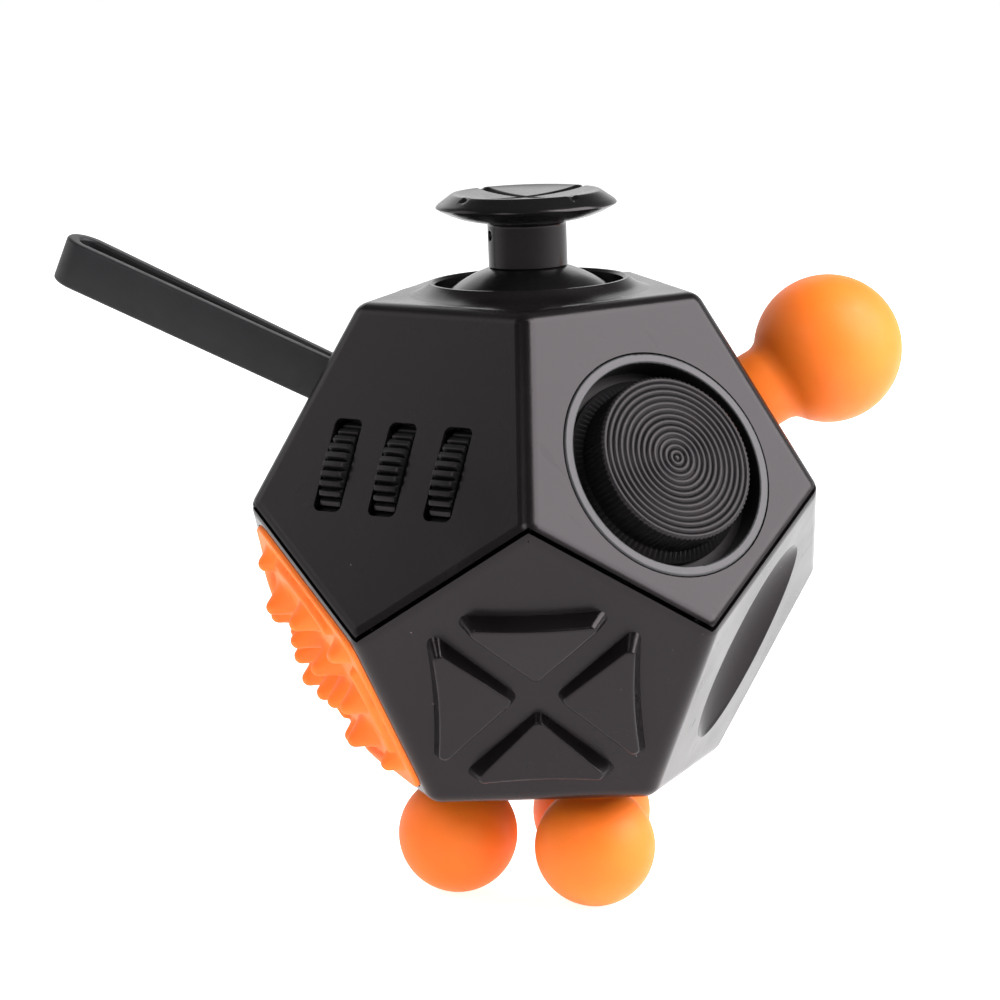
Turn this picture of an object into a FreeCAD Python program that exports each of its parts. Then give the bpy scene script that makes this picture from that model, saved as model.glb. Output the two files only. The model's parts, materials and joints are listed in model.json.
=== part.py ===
import FreeCAD, Part
import math
import os

# A twelve-sided fidget toy. Millimetres, +Z up through the joystick.
# Everything is modelled about the centre of the body, and moved at the end so that
# the origin is under the middle of the whole toy, where its three feet stand.

# Body: a dodecahedron in two shells that part along the zigzag of edges round its middle.
EDGE = 20.0
SIDE_TILT = math.degrees(math.atan(0.5))
SIDE_DIST = 1.1135163644 * EDGE
TOP_DIST = 23.1
BOTTOM_DIST = 22.27
WALL = 2.2
EDGE_ROUND = 1.8
SEAM_GAP = 0.25
LIP_THICK = 1.0
LIP_DEPTH = 1.5
LIP_ROOT = 0.7
FACES = {
    "gears": (-126, 1), "dial": (-54, 1), "ball": (18, 1), "buttons": (90, 1), "strap": (162, 1),
    "cross": (-90, -1), "dimple": (-18, -1), "rocker": (54, -1), "roller": (126, -1), "spikes": (-162, -1),
}
RUNNING = 0.05

# Joystick on the top face.
STICK_BALL_R = 11.8
STICK_PIVOT_Z = TOP_DIST - 8.95
STICK_HOLE_R = 8.77
COLLAR_RISE = 1.06
COLLAR_R = 12.6
STEM_R = 3.66
CAP_R = 8.4
CAP_UNDER_Z = TOP_DIST + 6.5
CAP_RIM_Z = TOP_DIST + 7.87
CAP_TOP_Z = TOP_DIST + 9.2
CAP_TOP_R = 6.9
CAP_DISH = 0.5
POST_R = 2.2
DOME_THICK = 1.2
DOME_ANGLE = 65.0
GIMBAL_PIN_R = 0.8

# Three thumb wheels on one axle.
WHEEL_R = 6.5
WHEEL_WIDTH = 2.5
WHEEL_TEETH = 44
WHEEL_TOOTH_DEPTH = 0.5
WHEEL_PITCH = 6.36
WHEEL_MID_U = -0.58
WHEEL_V = -0.95
WHEEL_PROUD = 0.8
WHEEL_HUB_R = 2.1
AXLE_R = 1.0
SLOT_WIDTH = 3.2
SLOT_LOW = -5.27
SLOT_HIGH = 3.6

# Finger dial in its cup.
DIAL_U = 0.4
DIAL_V = -1.1
DIAL_R = 7.8
DIAL_RISE = 1.8
DIAL_SKIRT_R = 8.8
DIAL_SHAFT_R = 2.0
CUP_R = 10.65
CUP_INNER_R = 9.71
CUP_DEPTH = 3.6
CUP_FLOOR = 1.0

# Bendable silicone balls: one large on an upper face, three small under the body.
BIG_BALL_R = 7.0
BIG_BALL_H = 10.8
BIG_BALL_V = 0.9
BIG_NECK_R = 3.75
BIG_PIVOT_H = 1.0
FOOT_BALL_R = 5.6
FOOT_Z = -28.1
FOOT_CIRCLE_R = 8.5
FOOT_AZIMUTHS = (-178, -58, 62)
FOOT_NECK_R = 2.5
FOOT_PIVOT_Z = -BOTTOM_DIST - 0.2
FRAME_FOOT_AZIMUTH = FOOT_AZIMUTHS[2] - 30
FRAME_SCREW_R = 4.9

# Silicone carrying strap: one closed band looped round a bar.
STRAP_V = 4.0
STRAP_DROOP = 2.97
STRAP_LENGTH = 31.8
STRAP_WIDTH = 4.4
STRAP_THICK = 1.25
STRAP_END_R = 2.45
STRAP_NECK = 1.4
STRAP_BAR_R = 0.7
STRAP_BAR_DEPTH = 2.4

# Four raised triangles that leave a cross between them on the front lower face.
# Each is higher on its outer side.
CROSS_V = -1.42
TRIANGLE_APEX = 1.6
TRIANGLE_REACH = (9.75, 9.5, 9.8, 9.5)
TRIANGLE_BOW = 0.45
TRIANGLE_CORNER = 0.8
TRIANGLE_TOP_CORNER = 0.5
TRIANGLE_LOW = 1.0
TRIANGLE_HIGH = 1.8
TRIANGLE_DRAFT = 0.36
TRIANGLE_SUNK = 0.3
TRIANGLE_ROUND = 0.3

# Thumb hollow.
BACKING_DEPTH = 3.7

# Massage pad with soft spikes.
PAD_INRADIUS = 12.3
PAD_PROUD = 0.4
PAD_SINK = 1.5
SPIKE_HEIGHT = 3.0

# Five click buttons.
BUTTON_R = 2.5
BUTTON_RISE = 1.4
BUTTON_SPACING = 5.2
BUTTON_MID_V = -0.8
CARRIER_DEPTH = 6.5
CARRIER_SCREW_U = 10.4

# Rocker switch.
ROCKER_WIDTH = 7.6
ROCKER_LENGTH = 13.0
ROCKER_ANGLE = 10.0
ROCKER_PIVOT_DEPTH = 2.2

# Captive steel ball.
ROLLER_R = 5.0
ROLLER_DEPTH = 3.3

V = FreeCAD.Vector
X = V(1, 0, 0)
Y = V(0, 1, 0)
Z = V(0, 0, 1)


# ---------- helpers ----------

def direction(azimuth, tilt):
    a = math.radians(azimuth)
    t = math.radians(tilt)
    return V(math.cos(a) * math.cos(t), math.sin(a) * math.cos(t), math.sin(t))


def face_placement(azimuth, tilt, distance):
    """Local x to the right, y up the face and z outwards, with the origin on the face."""
    normal = direction(azimuth, tilt)
    right = direction(azimuth + 90, 0)
    up = normal.cross(right)
    return FreeCAD.Placement(normal * distance, FreeCAD.Rotation(right, up, normal, "ZXY"))


def side_face(name):
    azimuth, side = FACES[name]
    return face_placement(azimuth, side * SIDE_TILT, SIDE_DIST)


def moved(shape, placement):
    copy = shape.copy()
    copy.Placement = placement.multiply(copy.Placement)
    return copy


def copies(shape, spots):
    """One compound of the shape at each spot."""
    turn = FreeCAD.Rotation()
    return Part.makeCompound([moved(shape, FreeCAD.Placement(spot, turn)) for spot in spots])


def on_face(shape, name):
    return moved(shape, side_face(name))


def cylinder(radius, low, high, x=0.0, y=0.0):
    return Part.makeCylinder(radius, high - low, V(x, y, low), Z)


def rod(radius, start, end):
    return Part.makeCylinder(radius, (end - start).Length, start, end - start)


def block(low, high):
    size = high - low
    return Part.makeBox(size.x, size.y, size.z, low)


def union(shapes):
    return shapes[0].multiFuse(shapes[1:]).removeSplitter()


def prism(points, low, high):
    """A straight-sided block over an outline of (x, y) points."""
    wire = Part.makePolygon([V(x, y, low) for x, y in points + points[:1]])
    return Part.Face(wire).extrude(V(0, 0, high - low))


def upright_edges(shape):
    return [e for e in shape.Edges if abs(e.BoundBox.ZLength) > 0.5 * shape.BoundBox.ZLength]


def regular_outline(count, inradius, first_angle):
    radius = inradius / math.cos(math.pi / count)
    angles = [math.radians(first_angle + 360.0 * k / count) for k in range(count)]
    return [(radius * math.cos(a), radius * math.sin(a)) for a in angles]


def coil_spring(coil_r, wire_r, low, high, turns):
    """An open-wound compression spring along Z."""
    height = high - low - 2 * wire_r
    helix = Part.makeHelix(height / turns, height, coil_r)
    start = Part.Circle(V(coil_r, 0, 0), Y, wire_r)
    profile = Part.Wire([start.toShape()])
    spring = Part.Wire(helix.Edges).makePipeShell([profile], True, True)
    spring.translate(V(0, 0, low + wire_r))
    return spring


# ---------- the two shells ----------

def body_solid(inset):
    """The dodecahedron with every face moved in by the inset."""
    size = 160.0
    below = Part.makeBox(size, size, size, V(-size / 2, -size / 2, -size))
    planes = [face_placement(a, s * SIDE_TILT, SIDE_DIST - inset) for a, s in FACES.values()]
    planes.append(face_placement(0, 90, TOP_DIST - inset))
    planes.append(face_placement(0, -90, BOTTOM_DIST - inset))
    solid = moved(below, planes[0])
    for plane in planes[1:]:
        solid = solid.common(moved(below, plane))
    return solid


def above_seam(lift):
    """Everything above the zigzag seam: planes through the centre and each seam edge."""
    seam_r = 1.3763819 * EDGE
    seam_z = 0.2628656 * EDGE
    far = 3.0
    ring = []
    for k in range(10):
        point = direction(-126 + 36 * k, 0) * seam_r
        point.z = -seam_z if k % 2 == 0 else seam_z
        ring.append(point * far + V(0, 0, lift))
    faces = []
    for k in range(10):
        for tip in (V(0, 0, lift), V(0, 0, 200)):
            corners = [tip, ring[k], ring[(k + 1) % 10], tip]
            faces.append(Part.Face(Part.makePolygon(corners)))
    solid = Part.Solid(Part.makeShell(faces))
    if solid.Volume < 0:
        solid.reverse()
    return solid


def shell_walls():
    """The rounded outside, the hollow inside, and the locating lip inside the seam."""
    sharp = body_solid(0)
    outside = sharp.makeFillet(EDGE_ROUND, sharp.Edges)
    hollow = body_solid(WALL)
    walls = outside.cut(hollow)
    lip = hollow.cut(body_solid(WALL + LIP_THICK))
    lip = lip.common(above_seam(-LIP_DEPTH)).cut(above_seam(LIP_ROOT))
    lip = lip.cut(on_face(cylinder(CUP_R + 1.2, -9, 0, DIAL_U, DIAL_V), "dial"))
    return walls, lip


def rounded_slot(u, v_low, v_high, width, corner, low, high):
    slot = block(V(u - width / 2, v_low, low), V(u + width / 2, v_high, high))
    return slot.makeFillet(corner, upright_edges(slot))


def wheel_positions():
    return [WHEEL_MID_U + k * WHEEL_PITCH for k in (-1, 0, 1)]


def button_positions():
    s = BUTTON_SPACING
    corners = [(-s, s), (s, s), (-s, -s), (s, -s)]
    return [(0.0, BUTTON_MID_V)] + [(u, v + BUTTON_MID_V) for u, v in corners]


def joystick_collar():
    """A smooth raised lip round the joystick's hole."""
    low = TOP_DIST - WALL
    top = TOP_DIST + COLLAR_RISE
    inner = STICK_HOLE_R
    lip = 0.5
    flare = Part.Arc(
        V(inner + lip, 0, top), V(inner + 1.5, 0, TOP_DIST + 0.30 * COLLAR_RISE), V(COLLAR_R, 0, TOP_DIST))
    edges = [
        Part.LineSegment(V(inner, 0, low), V(inner, 0, top - lip / 2)).toShape(),
        Part.LineSegment(V(inner, 0, top - lip / 2), V(inner + lip / 2, 0, top)).toShape(),
        Part.LineSegment(V(inner + lip / 2, 0, top), V(inner + lip, 0, top)).toShape(),
        flare.toShape(),
        Part.LineSegment(V(COLLAR_R, 0, TOP_DIST), V(COLLAR_R, 0, low)).toShape(),
        Part.LineSegment(V(COLLAR_R, 0, low), V(inner, 0, low)).toShape(),
    ]
    return Part.Face(Part.Wire(edges)).revolve(V(0, 0, 0), Z, 360)


def wheel_lugs():
    """Two lugs inside the gear face that carry the axle in open slots."""
    wheels = wheel_positions()
    depth = WHEEL_R - WHEEL_PROUD
    lugs = []
    for side, u in ((-1, wheels[0]), (1, wheels[2])):
        inner = u + side * (WHEEL_PITCH / 2 + 0.1)
        outer = inner + side * 1.6
        low = V(min(inner, outer), WHEEL_V - 2.4, -depth - 2.2)
        high = V(max(inner, outer), WHEEL_V + 2.4, -WALL + 0.3)
        slot_low = V(min(inner, outer) - 1, WHEEL_V - AXLE_R, -depth - 3)
        slot_high = V(max(inner, outer) + 1, WHEEL_V + AXLE_R, -depth)
        round_end = rod(AXLE_R, V(slot_low.x, WHEEL_V, -depth), V(slot_high.x, WHEEL_V, -depth))
        lugs.append(block(low, high).cut(block(slot_low, slot_high)).cut(round_end))
    return lugs


def strap_placement():
    droop = FreeCAD.Placement(V(0, STRAP_V, 0), FreeCAD.Rotation(X, STRAP_DROOP))
    return side_face("strap").multiply(droop)


def strap_socket():
    """The pocket that holds the strap's bar: its walls, and the space inside it."""
    half_u = STRAP_NECK + 1.7
    half_v = STRAP_WIDTH / 2 + 0.3
    depth = STRAP_BAR_DEPTH + STRAP_NECK + 1.1
    outer = block(V(-half_u - 1.2, -half_v - 1.2, -depth - 1.2), V(half_u + 1.2, half_v + 1.2, -WALL + 0.4))
    inner = block(V(-half_u, -half_v, -depth), V(half_u, half_v, 4))
    inner = inner.makeFillet(0.6, upright_edges(inner))
    hole = rod(STRAP_BAR_R, V(0, -half_v - 0.8, -STRAP_BAR_DEPTH), V(0, half_v + 0.8, -STRAP_BAR_DEPTH))
    place = strap_placement()
    return moved(outer, place), moved(inner.fuse(hole), place)


def upper_shell(walls, lip):
    shell = union([walls.common(above_seam(SEAM_GAP)), lip, joystick_collar()])
    socket_outer, socket_inner = strap_socket()
    added = [on_face(lug, "gears") for lug in wheel_lugs()]
    for u in (-CARRIER_SCREW_U, CARRIER_SCREW_U):
        added.append(on_face(cylinder(1.9, -CARRIER_DEPTH, -WALL + 0.3, u, BUTTON_MID_V), "buttons"))
    added.append(socket_outer)
    shell = union([shell] + added)
    cuts = [Part.makeSphere(STICK_BALL_R + 0.4, V(0, 0, STICK_PIVOT_Z))]
    cuts.append(cylinder(STICK_HOLE_R, TOP_DIST - 2 * WALL, TOP_DIST + 3))
    for u in wheel_positions():
        slot = rounded_slot(u, SLOT_LOW, SLOT_HIGH, SLOT_WIDTH, 0.7, -WALL - 1, 2)
        cuts.append(on_face(slot, "gears"))
        depth = WHEEL_R - WHEEL_PROUD
        ends = [V(u + side * SLOT_WIDTH / 2, WHEEL_V, -depth) for side in (-1, 1)]
        clearance = rod(WHEEL_R + 0.3, *ends)
        cuts.append(on_face(clearance, "gears"))
    cuts.append(on_face(cylinder(CUP_R + 0.12, -WALL - 1, 2, DIAL_U, DIAL_V), "dial"))
    cuts.append(on_face(cylinder(BIG_NECK_R - 0.3, -WALL - 1, 2, 0, BIG_BALL_V), "ball"))
    for u, v in button_positions():
        cuts.append(on_face(cylinder(BUTTON_R + 0.15, -WALL - 1, 2, u, v), "buttons"))
    for u in (-CARRIER_SCREW_U, CARRIER_SCREW_U):
        cuts.append(on_face(cylinder(0.8, -CARRIER_DEPTH - 1, -WALL - 0.5, u, BUTTON_MID_V), "buttons"))
    cuts.append(socket_inner)
    return shell.cut(cuts)


def triangle_outline(reach, inset, corner, z):
    """A right-angled triangle with its apex near the middle of the cross, and its far side bowed inward."""
    apex = TRIANGLE_APEX + inset * math.sqrt(2)
    side = reach - inset
    half = side - apex
    points = [V(apex, 0, z), V(side, half, z), V(side, -half, z)]
    edges = [
        Part.LineSegment(points[0], points[1]).toShape(),
        Part.Arc(points[1], V(side - TRIANGLE_BOW, 0, z), points[2]).toShape(),
        Part.LineSegment(points[2], points[0]).toShape(),
    ]
    slab = Part.Face(Part.Wire(edges)).extrude(V(0, 0, 1))
    slab = slab.makeFillet(corner, upright_edges(slab))
    flat = min(slab.Faces, key=lambda face: face.CenterOfMass.z)
    return flat.OuterWire


def raised_triangle(turn, reach):
    """One moulded triangle with drafted sides, a slanted top and a rounded edge."""
    low = triangle_outline(reach, -TRIANGLE_DRAFT * TRIANGLE_SUNK, TRIANGLE_CORNER, -TRIANGLE_SUNK)
    high = triangle_outline(reach, TRIANGLE_DRAFT * TRIANGLE_HIGH, TRIANGLE_TOP_CORNER, TRIANGLE_HIGH)
    solid = Part.makeLoft([low, high], True, True)
    slope = math.degrees(math.atan2(TRIANGLE_HIGH - TRIANGLE_LOW, reach - TRIANGLE_APEX))
    lid = block(V(-20, -20, 0), V(20, 20, 10))
    lid.rotate(V(0, 0, 0), Y, -slope)
    lid.translate(V(reach, 0, TRIANGLE_HIGH))
    solid = solid.cut(lid)
    top = max(solid.Faces, key=lambda face: face.CenterOfMass.z)
    solid = solid.makeFillet(TRIANGLE_ROUND, top.Edges)
    solid.rotate(V(0, 0, 0), Z, turn)
    solid.translate(V(0, CROSS_V, 0))
    return solid


def dimple_tool():
    """A long shallow oval hollow for the thumb."""
    ball = Part.makeSphere(1.0)
    stretch = FreeCAD.Matrix()
    stretch.scale(V(7.6, 11.0, 4.2))
    bowl = ball.transformGeometry(stretch)
    bowl.translate(V(0, 0.6, 1.6))
    return bowl


def pentagon_block(inradius, low, high, corner):
    solid = prism(regular_outline(5, inradius, 90), low, high)
    return solid.makeFillet(corner, upright_edges(solid))


def pad_plug_positions():
    return [(7.0 * math.cos(a), 7.0 * math.sin(a)) for a in (math.radians(-90 + 120 * k) for k in range(3))]


def retainer_screw_positions():
    return [direction(azimuth + 60, 0) * 7.0 for azimuth in FOOT_AZIMUTHS]


def lower_shell(walls):
    shell = walls.cut(above_seam(-SEAM_GAP))
    backings = [on_face(cylinder(10.5, -BACKING_DEPTH, -WALL + 0.3), "dimple")]
    backings.append(on_face(cylinder(11.0, -WALL - 1.2, -WALL + 0.3), "spikes"))
    added = [backing.cut(above_seam(-LIP_DEPTH - 0.2)) for backing in backings]
    for spot in retainer_screw_positions():
        added.append(cylinder(1.8, -BOTTOM_DIST + WALL - 0.3, -BOTTOM_DIST + WALL + 1.6, spot.x, spot.y))
    added += [on_face(raised_triangle(90 * k, reach), "cross") for k, reach in enumerate(TRIANGLE_REACH)]
    shell = union([shell] + added)
    cuts = [on_face(dimple_tool(), "dimple")]
    cuts.append(on_face(pentagon_block(PAD_INRADIUS + 0.1, -PAD_SINK, 2, 2.6), "spikes"))
    for u, v in pad_plug_positions():
        cuts.append(on_face(cylinder(1.2, -WALL - 2, 0, u, v), "spikes"))
    opening = block(
        V(-ROCKER_WIDTH / 2 - 0.9, -ROCKER_LENGTH / 2 - 1.1, -WALL - 1),
        V(ROCKER_WIDTH / 2 + 0.9, ROCKER_LENGTH / 2 + 1.1, 2))
    cuts.append(on_face(opening, "rocker"))
    cuts.append(on_face(Part.makeSphere(ROLLER_R + 0.12, V(0, 0, -ROLLER_DEPTH)), "roller"))
    for azimuth in FOOT_AZIMUTHS:
        spot = direction(azimuth, 0) * FOOT_CIRCLE_R
        cuts.append(cylinder(2.1, -BOTTOM_DIST - 1, -BOTTOM_DIST + WALL + 1, spot.x, spot.y))
    for spot in retainer_screw_positions():
        cuts.append(cylinder(0.8, -BOTTOM_DIST + 0.8, -BOTTOM_DIST + WALL + 2, spot.x, spot.y))
    return shell.cut(cuts)


# ---------- joystick ----------

def joystick_cap():
    """The thumb disc and its hollow stem, seated on the dome."""
    bore_top = CAP_UNDER_Z + 0.8
    edges = [
        Part.LineSegment(V(POST_R, 0, TOP_DIST), V(STEM_R, 0, TOP_DIST)),
        Part.LineSegment(V(STEM_R, 0, TOP_DIST), V(STEM_R, 0, CAP_UNDER_Z)),
        Part.Arc(V(STEM_R, 0, CAP_UNDER_Z), V(6.6, 0, CAP_UNDER_Z + 0.35), V(CAP_R, 0, CAP_RIM_Z)),
        Part.Arc(V(CAP_R, 0, CAP_RIM_Z), V(CAP_R - 0.25, 0, CAP_RIM_Z + 0.55), V(CAP_TOP_R, 0, CAP_TOP_Z)),
        Part.LineSegment(V(CAP_TOP_R, 0, CAP_TOP_Z), V(0, 0, CAP_TOP_Z)),
        Part.LineSegment(V(0, 0, CAP_TOP_Z), V(0, 0, bore_top)),
        Part.LineSegment(V(0, 0, bore_top), V(POST_R, 0, bore_top)),
        Part.LineSegment(V(POST_R, 0, bore_top), V(POST_R, 0, TOP_DIST)),
    ]
    outline = Part.Wire([e.toShape() for e in edges])
    cap = Part.Face(outline).revolve(V(0, 0, 0), Z, 360)
    cap = cap.cut(Part.makeSphere(STICK_BALL_R, V(0, 0, STICK_PIVOT_Z)))
    dish_r = (CAP_TOP_R ** 2 + CAP_DISH ** 2) / (2 * CAP_DISH)
    cap = cap.cut(Part.makeSphere(dish_r, V(0, 0, CAP_TOP_Z - CAP_DISH + dish_r)))
    window = rod(0.45, V(-STEM_R - 1, 0, CAP_UNDER_Z - 1.2), V(0, 0, CAP_UNDER_Z - 1.2))
    return cap.cut(window)


def joystick_dome():
    """The ball-shaped skirt with the post that the cap clicks on to."""
    pivot = V(0, 0, STICK_PIVOT_Z)
    outer = Part.makeSphere(STICK_BALL_R, pivot)
    inner = Part.makeSphere(STICK_BALL_R - DOME_THICK, pivot)
    rim_z = STICK_PIVOT_Z + STICK_BALL_R * math.cos(math.radians(DOME_ANGLE))
    keep = block(V(-20, -20, rim_z), V(20, 20, STICK_PIVOT_Z + 30))
    skirt = outer.cut(inner).common(keep)
    upper_post = cylinder(POST_R, STICK_PIVOT_Z + STICK_BALL_R - 0.6, CAP_UNDER_Z + 0.75)
    lower_post = cylinder(2.4, STICK_PIVOT_Z - 2.2, STICK_PIVOT_Z + STICK_BALL_R - 0.6)
    rib = block(V(-8.6, -0.6, rim_z + 0.6), V(8.6, 0.6, rim_z + 3)).common(inner)
    ribs = [moved(rib, FreeCAD.Placement(V(), FreeCAD.Rotation(Z, turn))) for turn in (0, 90)]
    dome = union([skirt, upper_post, lower_post] + ribs)
    return dome.cut(rod(GIMBAL_PIN_R, V(0, -5, STICK_PIVOT_Z), V(0, 5, STICK_PIVOT_Z)))


def stick_cross_pin():
    return rod(GIMBAL_PIN_R, V(0, -4.3, STICK_PIVOT_Z), V(0, 4.3, STICK_PIVOT_Z))


def stick_yoke():
    """The gimbal frame: it rocks about X in the base and carries the stick's pin along Y."""
    z = STICK_PIVOT_Z
    ring = block(V(-4.6, -4.3, z - 1.3), V(4.6, 4.3, z + 1.3))
    ring = ring.makeFillet(0.8, upright_edges(ring))
    ring = ring.cut(block(V(-3.3, -2.8, z - 3), V(3.3, 2.8, z + 3)))
    ring = ring.cut(rod(GIMBAL_PIN_R + RUNNING, V(0, -6, z), V(0, 6, z)))
    trunnions = [rod(0.9, V(side * 4.2, 0, z), V(side * 6.9, 0, z)) for side in (-1, 1)]
    return union([ring] + trunnions)


def stick_base():
    """Floor and two bearing posts for the gimbal, on top of the inner frame."""
    z = STICK_PIVOT_Z
    floor = cylinder(6.9, z - 10.0, z - 8.8)
    posts = [block(V(x - 0.9, -1.7, z - 9.5), V(x + 0.9, 1.7, z + 1.9)) for x in (-6.0, 6.0)]
    base = union([floor] + posts)
    base = base.cut(rod(0.9 + RUNNING, V(-9, 0, z), V(9, 0, z)))
    holes = [cylinder(0.9, z - 11, z - 8, 0, y) for y in (-5.2, 5.2)]
    return base.cut(holes)


def frame_screw_positions():
    reach = direction(FRAME_FOOT_AZIMUTH, 0) * FRAME_SCREW_R
    return [reach, reach * -1]


def inner_frame():
    """The pillar that carries the joystick on the foot retainer."""
    top = STICK_PIVOT_Z - 10.0
    low = -BOTTOM_DIST + WALL + 2.8
    pillar = cylinder(3.6, low, top).cut(cylinder(2.4, low - 1, top + 1))
    foot = block(V(-FRAME_SCREW_R - 1.4, -1.6, low), V(FRAME_SCREW_R + 1.4, 1.6, low + 1.4))
    foot.rotate(V(0, 0, 0), Z, FRAME_FOOT_AZIMUTH)
    foot = foot.cut(cylinder(2.4, low - 1, top))
    head = cylinder(6.9, top - 1.6, top).cut(cylinder(2.4, low, top + 1))
    frame = union([pillar, foot, head])
    holes = [cylinder(0.8, top - 3, top + 1, 0, y) for y in (-5.2, 5.2)]
    holes += [cylinder(0.8, low - 1, low + 1.5, s.x, s.y) for s in frame_screw_positions()]
    return frame.cut(holes)


def screw(head_r, head_h, shank_r, length):
    """A small pan-head screw pointing down from z = 0, with a cross recess."""
    head = cylinder(head_r, 0, head_h)
    head = head.makeFillet(0.25 * head_r, [e for e in head.Edges if e.BoundBox.ZMin > head_h - 0.01])
    body = union([head, cylinder(shank_r, -length, 0.1)])
    arm = 0.55 * head_r
    slot = block(V(-arm, -0.16, 0.45 * head_h), V(arm, 0.16, 3))
    slots = [moved(slot, FreeCAD.Placement(V(), FreeCAD.Rotation(Z, turn))) for turn in (0, 90)]
    return body.cut(slots)


def stick_screws():
    z = STICK_PIVOT_Z - 8.8
    one = screw(1.4, 0.9, 0.78, 2.7)
    return copies(one, [V(0, y, z) for y in (-5.2, 5.2)])


# ---------- thumb wheels ----------

def thumb_wheel(u):
    """A toothed wheel with a wide hub that spaces it from its neighbours."""
    tooth = 2 * math.pi / WHEEL_TEETH
    root = WHEEL_R - WHEEL_TOOTH_DEPTH
    outline = []
    for k in range(WHEEL_TEETH):
        for share, radius in ((0.0, root), (0.28, WHEEL_R), (0.72, WHEEL_R)):
            angle = tooth * (k + share)
            outline.append((radius * math.cos(angle), radius * math.sin(angle)))
    rim = prism(outline, -WHEEL_WIDTH / 2, WHEEL_WIDTH / 2)
    hub_half = WHEEL_PITCH / 2 - 0.05
    wheel = union([rim, cylinder(WHEEL_HUB_R, -hub_half, hub_half)])
    wheel = wheel.cut(cylinder(AXLE_R + RUNNING, -9, 9))
    axis = FreeCAD.Placement(V(u, WHEEL_V, WHEEL_PROUD - WHEEL_R), FreeCAD.Rotation(Z, X))
    return on_face(moved(wheel, axis), "gears")


def wheel_axle():
    wheels = wheel_positions()
    z = WHEEL_PROUD - WHEEL_R
    reach = WHEEL_PITCH / 2 + 1.7
    return on_face(rod(AXLE_R, V(wheels[0] - reach, WHEEL_V, z), V(wheels[2] + reach, WHEEL_V, z)), "gears")


def axle_clips():
    """Two plugs that close the lugs' slots under the axle."""
    wheels = wheel_positions()
    z = WHEEL_PROUD - WHEEL_R
    clips = []
    for side, u in ((-1, wheels[0]), (1, wheels[2])):
        inner = u + side * (WHEEL_PITCH / 2 + 0.1)
        outer = inner + side * 1.6
        left = min(inner, outer)
        right = max(inner, outer)
        plug = block(V(left, WHEEL_V - AXLE_R, z - 2.2), V(right, WHEEL_V + AXLE_R, z - 0.2))
        plate = block(V(left, WHEEL_V - 2.4, z - 3.2), V(right, WHEEL_V + 2.4, z - 2.2))
        axle = rod(AXLE_R, V(left - 1, WHEEL_V, z), V(right + 1, WHEEL_V, z))
        clips.append(on_face(union([plug, plate]).cut(axle), "gears"))
    return Part.makeCompound(clips)


# ---------- dial ----------

def dial_cup():
    flange = cylinder(CUP_R + 0.75, -WALL - 1.0, -WALL)
    wall = cylinder(CUP_R, -CUP_DEPTH, 0.12)
    cup = union([wall, flange])
    cup = cup.cut(cylinder(CUP_INNER_R, -CUP_DEPTH + CUP_FLOOR, 2))
    cup = cup.cut(cylinder(DIAL_SHAFT_R + RUNNING, -9, 2))
    rim = [e for e in cup.Edges if e.BoundBox.ZMin > 0.11]
    cup = cup.makeFillet(0.2, rim)
    cup.translate(V(DIAL_U, DIAL_V, 0))
    return on_face(cup, "dial")


def dial():
    floor = -CUP_DEPTH + CUP_FLOOR
    skirt = cylinder(DIAL_SKIRT_R, floor + 0.2, floor + 1.0)
    knob = cylinder(DIAL_R, floor + 0.9, DIAL_RISE)
    knob = knob.makeFillet(0.35, [e for e in knob.Edges if e.BoundBox.ZMin > DIAL_RISE - 0.01])
    shaft = cylinder(DIAL_SHAFT_R, -CUP_DEPTH - 1.6, floor + 1)
    groove = cylinder(DIAL_SHAFT_R + 1, -CUP_DEPTH - 1.1, -CUP_DEPTH - 0.6)
    groove = groove.cut(cylinder(DIAL_SHAFT_R - 0.5, -9, 0))
    turned = union([skirt, knob, shaft]).cut(groove)
    turned.translate(V(DIAL_U, DIAL_V, 0))
    return on_face(turned, "dial")


def dial_clip():
    """The open clip that holds the dial's shaft under its cup."""
    clip = cylinder(3.4, -CUP_DEPTH - 1.05, -CUP_DEPTH - 0.65).cut(cylinder(DIAL_SHAFT_R - 0.48, -9, 0))
    clip = clip.cut(block(V(-1.1, -5, -9), V(1.1, 0, 0)))
    clip.translate(V(DIAL_U, DIAL_V, 0))
    return on_face(clip, "dial")


def dial_click_ring():
    """A thin wave washer between cup and clip gives the dial its drag."""
    washer = cylinder(4.4, -CUP_DEPTH - 0.4, -CUP_DEPTH - 0.1).cut(cylinder(DIAL_SHAFT_R + 0.3, -9, 0))
    washer.translate(V(DIAL_U, DIAL_V, 0))
    return on_face(washer, "dial")


# ---------- bendable balls ----------

def bend_ball(ball_r, arm, neck_r, socket_r, neck_start):
    """A ball and its neck above a spherical socket whose centre is the local origin."""
    neck = cylinder(neck_r, neck_start, arm)
    solid = union([Part.makeSphere(ball_r, V(0, 0, arm)), neck])
    return solid.cut(Part.makeSphere(socket_r))


def bend_root(dome_r, stub_low, plate_r, plate_low):
    """The fixed end of the neck: a domed stub on a plate inside the shell."""
    stub = cylinder(dome_r, stub_low - 0.2, 0)
    return union([stub, Part.makeSphere(dome_r), cylinder(plate_r, plate_low, stub_low)])


def big_ball_place():
    return side_face("ball").multiply(FreeCAD.Placement(V(0, BIG_BALL_V, BIG_PIVOT_H), FreeCAD.Rotation()))


def big_ball():
    arm = BIG_BALL_H - BIG_PIVOT_H
    return moved(bend_ball(BIG_BALL_R, arm, BIG_NECK_R, 3.4, 1.25), big_ball_place())


def big_ball_root():
    root = bend_root(3.15, -BIG_PIVOT_H - WALL, 6.0, -BIG_PIVOT_H - WALL - 1.5)
    collar = cylinder(BIG_NECK_R - 0.35, -BIG_PIVOT_H - WALL - 0.1, -BIG_PIVOT_H)
    return moved(union([root, collar]), big_ball_place())


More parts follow.
